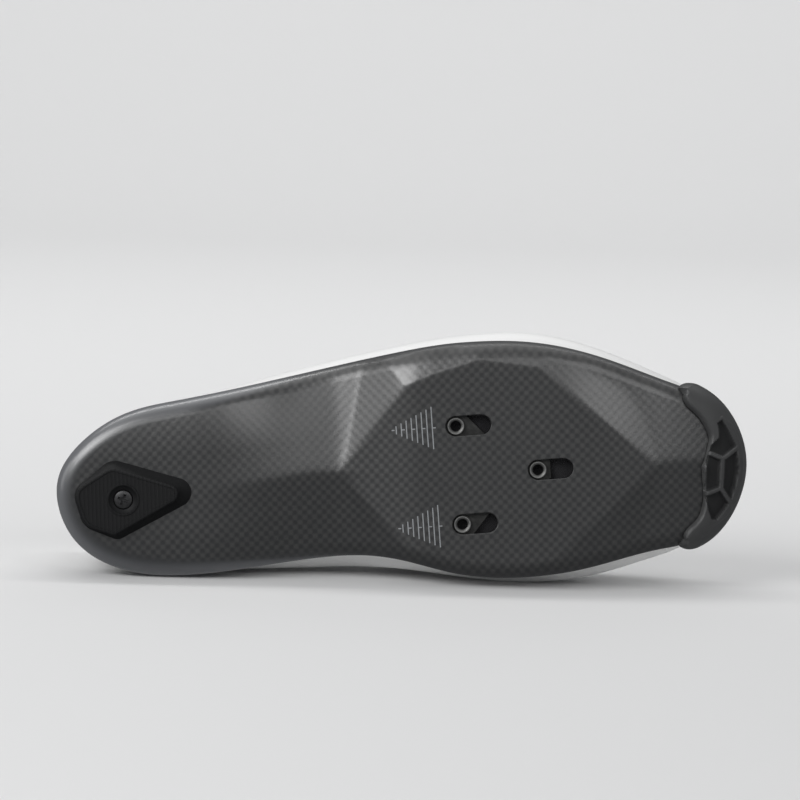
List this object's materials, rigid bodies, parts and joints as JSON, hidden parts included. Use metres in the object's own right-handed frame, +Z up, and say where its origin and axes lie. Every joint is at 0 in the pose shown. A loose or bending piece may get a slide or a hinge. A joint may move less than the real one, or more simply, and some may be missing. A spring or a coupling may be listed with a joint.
{
  "type": "cycling shoe",
  "caption": "Right road cycling shoe lying on its inner side: carbon cup sole with sliding cleat nut plate, hollow white upper, tongue, straps, heel and toe pads.",
  "frame": {"origin": "on the floor under the middle of the bounding box, with the shoe lying on its inner side", "axes": "+X from heel to toe, +Z up to the shoe's outer side; the sole faces -Y and the collar and throat face +Y"},
  "size_m": [0.2822, 0.098, 0.1022],
  "materials": {
    "carbon": "satin woven carbon laminate",
    "upper": "smooth faced white microfibre",
    "footbed": "matt knit footbed cloth",
    "tongue": "padded white microfibre",
    "strap": "smooth white strap",
    "heel_rubber": "matt black rubber",
    "toe_rubber": "satin dark grey rubber",
    "blackened_steel": "blackened steel",
    "zinc_steel": "zinc-plated steel"
  },
  "bodies": {
    "shoe": {"sole": "carbon", "upper": "upper", "insole": "footbed", "tongue": "tongue", "strap_front": "strap", "strap_rear": "strap", "heel_pad": "heel_rubber", "heel_pad_screw": "blackened_steel", "toe_pad": "toe_rubber"},
    "cleat_plate": {"cleat_nut_plate": "zinc_steel"}
  },
  "joints": [
    {"name": "cleat_slide", "type": "slide", "parent": "shoe", "child": "cleat_plate", "axis": [0.9953, 0.008, 0.0966], "range_m": [0, 0.0103]}
  ]
}
